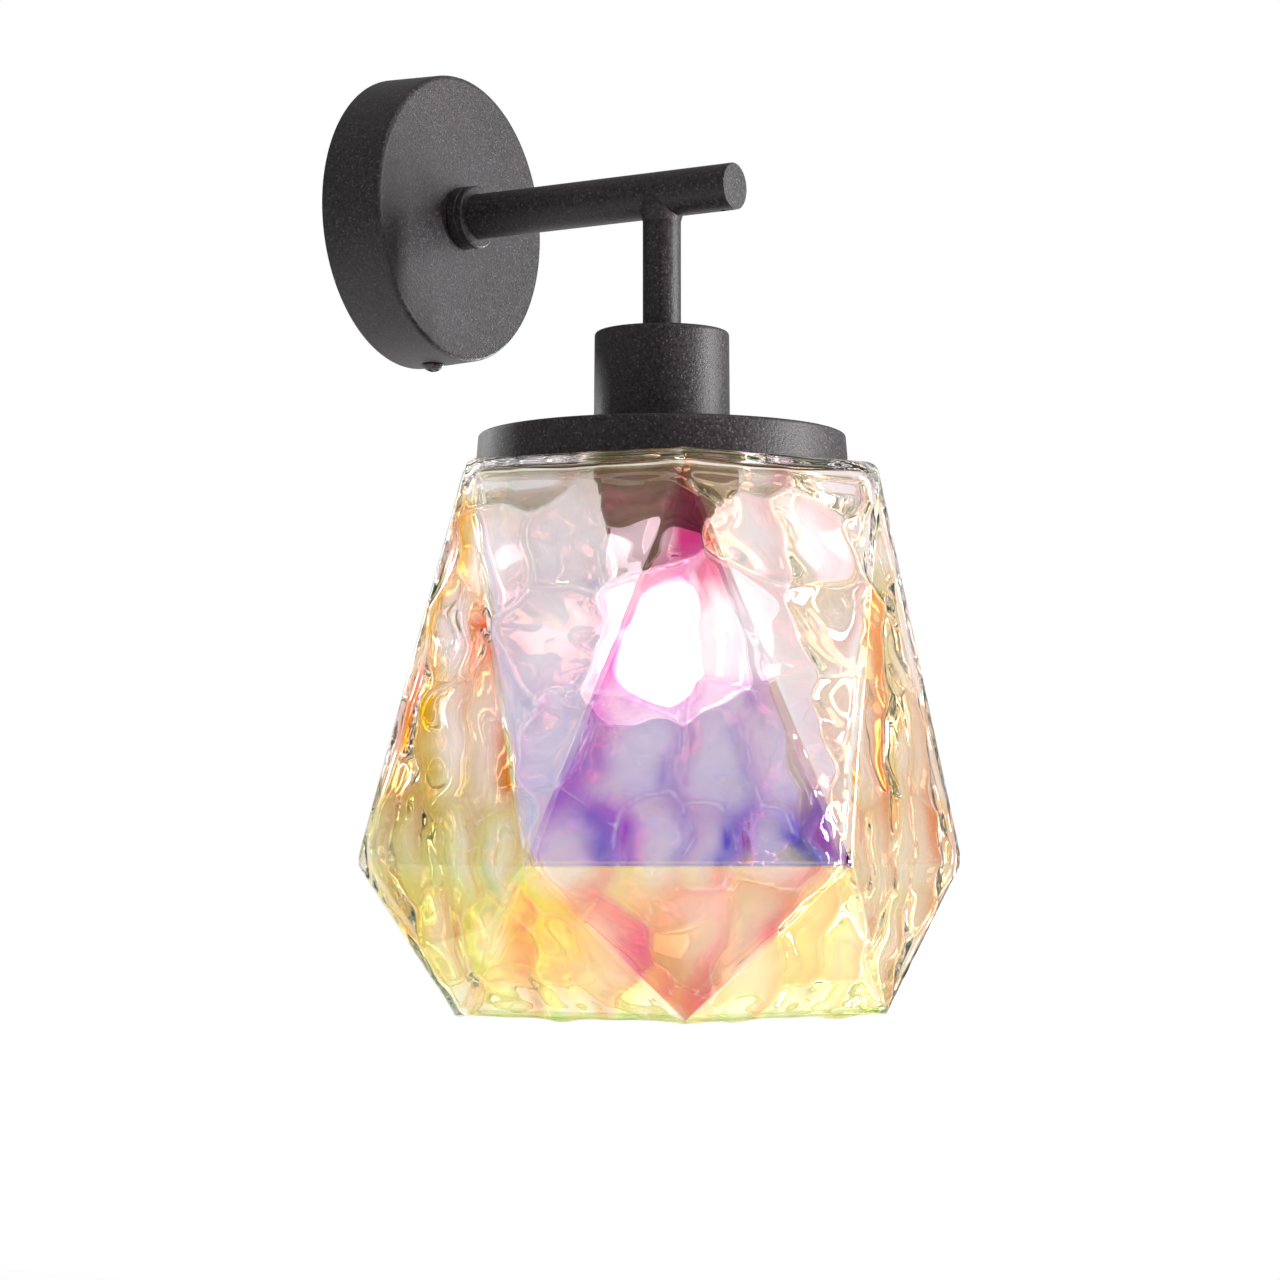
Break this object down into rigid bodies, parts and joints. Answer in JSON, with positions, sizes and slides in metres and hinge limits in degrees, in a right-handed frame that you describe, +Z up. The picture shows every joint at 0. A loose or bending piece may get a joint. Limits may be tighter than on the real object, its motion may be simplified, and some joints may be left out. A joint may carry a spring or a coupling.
{
  "type": "wall sconce",
  "caption": "Wall sconce: round canopy, straight arm and a faceted, rippled, iridescent glass shade hung open side down round a screw-in lamp.",
  "frame": {"origin": "centre of the canopy's back face, in the wall plane, at the middle of the wall-screw slots", "axes": "+Z up, +Y into the wall, -Y out along the arm, +X to the right of someone who faces the wall"},
  "size_m": [0.2016, 0.1978, 0.3252],
  "materials": {
    "powder_coat": "fine-textured charcoal powder coat",
    "black_screw": "black-finished steel",
    "zinc_steel": "bright zinc plating",
    "brass": "bare pressed brass",
    "white_plastic": "moulded terminal plastic",
    "holder_plastic": "moulded dark thermoset",
    "ceramic": "unglazed steatite",
    "silicone": "soft milky silicone",
    "shade_glass": "rippled glass with an iridescent film",
    "lamp_glass": "clear blown glass",
    "filament": "glowing coated rods",
    "nickel": "nickel-plated sheet",
    "black_glass": "fused dark insulator",
    "wire_brown": "brown wire sheath",
    "wire_blue": "blue wire sheath"
  },
  "bodies": {
    "fixture": {"canopy": "powder_coat", "arm_collar": "powder_coat", "arm_tube": "powder_coat", "arm_end_cap": "powder_coat", "stem_tube": "powder_coat", "holder_cup": "powder_coat", "shade_plate": "powder_coat", "canopy_screw": "black_screw", "wall_bracket": "zinc_steel", "earth_screw": "zinc_steel", "earth_washer": "zinc_steel", "arm_insert": "zinc_steel", "arm_nipple": "zinc_steel", "arm_lock_washer": "zinc_steel", "arm_lock_nut": "zinc_steel", "stem_nipple": "zinc_steel", "terminal_clamp_screws": "zinc_steel", "terminal_fixing_screw": "zinc_steel", "terminal_barrels": "brass", "holder_terminals": "brass", "thread_shell": "brass", "centre_contact": "brass", "terminal_block": "white_plastic", "holder_cap": "holder_plastic", "holder_sleeve": "holder_plastic", "contact_carrier": "ceramic", "shade_gasket": "silicone", "glass_shade": "shade_glass", "live_wire": "wire_brown", "neutral_wire": "wire_blue"},
    "lamp": {"lamp_glass": "lamp_glass", "lamp_cap": "nickel", "lamp_insulator": "black_glass", "lamp_contact": "nickel", "lamp_mount": "lamp_glass", "lamp_filaments": "filament"},
    "shade_ring": {"shade_ring": "holder_plastic"}
  },
  "joints": [
    {"name": "lamp_turn", "type": "hinge", "parent": "fixture", "child": "lamp", "pos_m": [0, -0.1046, -0.09], "axis": [0, 0, -1], "range_deg": [0, 1440]},
    {"name": "ring_turn", "type": "hinge", "parent": "fixture", "child": "shade_ring", "pos_m": [0, -0.1046, -0.1], "axis": [0, 0, -1], "range_deg": [0, 1800]}
  ]
}
